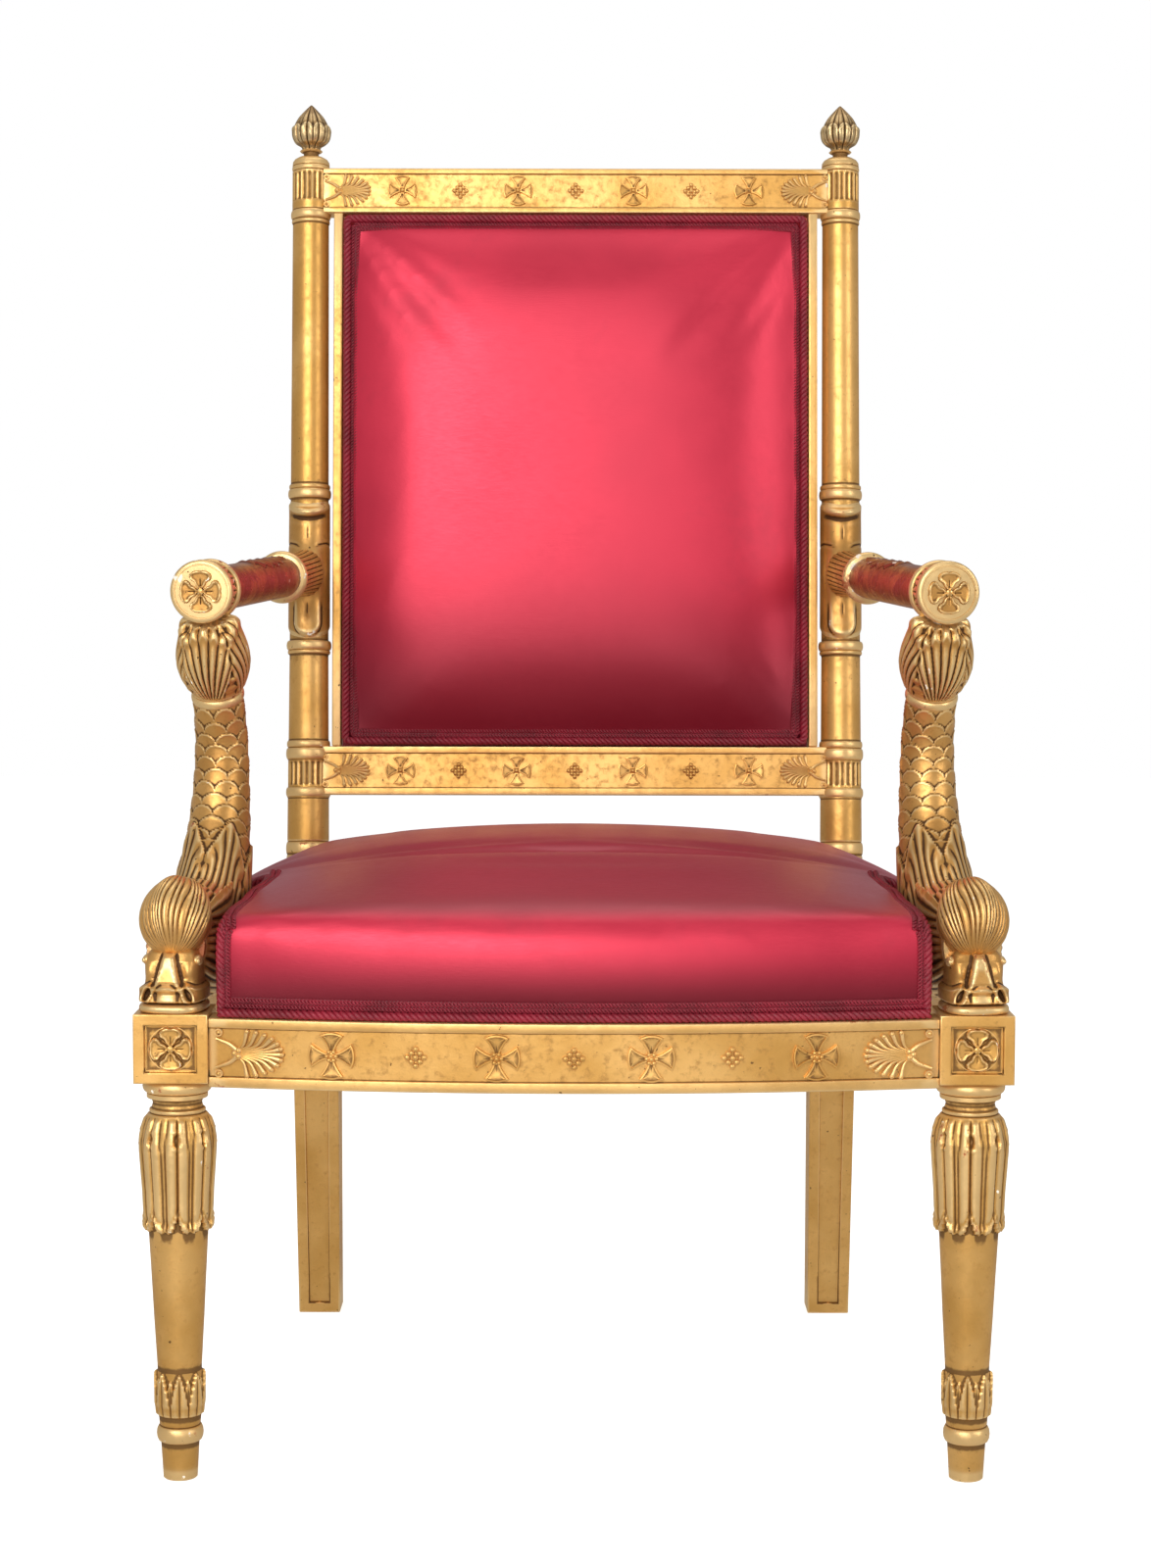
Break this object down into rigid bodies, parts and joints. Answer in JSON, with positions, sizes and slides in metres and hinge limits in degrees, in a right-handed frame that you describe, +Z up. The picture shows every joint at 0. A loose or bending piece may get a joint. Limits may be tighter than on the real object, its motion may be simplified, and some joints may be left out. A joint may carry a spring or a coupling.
{
  "type": "throne armchair",
  "caption": "Giltwood throne armchair with dolphin arm supports, reclined turned stiles and a stuffed satin seat and back.",
  "frame": {"origin": "on the floor under the middle of the whole chair", "axes": "+X to the viewer's right when facing the chair, +Y towards the back, +Z up"},
  "size_m": [0.6516, 0.6124, 1.1056],
  "materials": {
    "gilding": "burnished gold leaf over carved wood, worn and browned in the hollows",
    "worn_gilding": "gold leaf rubbed through to the red ground",
    "bronze_gilding": "darkened gold leaf over carved wood",
    "satin": "crimson satin with a soft sheen",
    "trimming": "twisted cord and braid in dark crimson",
    "canvas": "plain woven linen"
  },
  "bodies": {
    "root": {"arm_left": "worn_gilding", "arm_right": "worn_gilding", "back_braid": "trimming", "back_cord": "trimming", "back_cover": "satin", "back_frame_left": "gilding", "back_frame_right": "gilding", "back_rail_bottom": "gilding", "back_rail_top": "gilding", "back_stuffing": "satin", "back_upright_left": "gilding", "back_upright_right": "gilding", "dolphin_left": "bronze_gilding", "dolphin_right": "bronze_gilding", "finial_left": "bronze_gilding", "finial_right": "bronze_gilding", "front_leg_left": "gilding", "front_leg_right": "gilding", "low_cross_1": "gilding", "low_cross_2": "gilding", "low_cross_3": "gilding", "low_cross_4": "gilding", "low_flower_1": "gilding", "low_flower_2": "gilding", "low_flower_3": "gilding", "low_palmette_left": "gilding", "low_palmette_right": "gilding", "seat_canvas": "canvas", "seat_cord_front": "trimming", "seat_cord_side_left": "trimming", "seat_cord_side_right": "trimming", "seat_cross_1": "gilding", "seat_cross_2": "gilding", "seat_cross_3": "gilding", "seat_cross_4": "gilding", "seat_flower_1": "gilding", "seat_flower_2": "gilding", "seat_flower_3": "gilding", "seat_palmette_left": "gilding", "seat_palmette_right": "gilding", "seat_rail_front": "gilding", "seat_rail_rear": "gilding", "seat_rail_side_left": "gilding", "seat_rail_side_right": "gilding", "seat_stuffing": "satin", "top_cross_1": "gilding", "top_cross_2": "gilding", "top_cross_3": "gilding", "top_cross_4": "gilding", "top_flower_1": "gilding", "top_flower_2": "gilding", "top_flower_3": "gilding", "top_palmette_left": "gilding", "top_palmette_right": "gilding"}
  },
  "joints": []
}
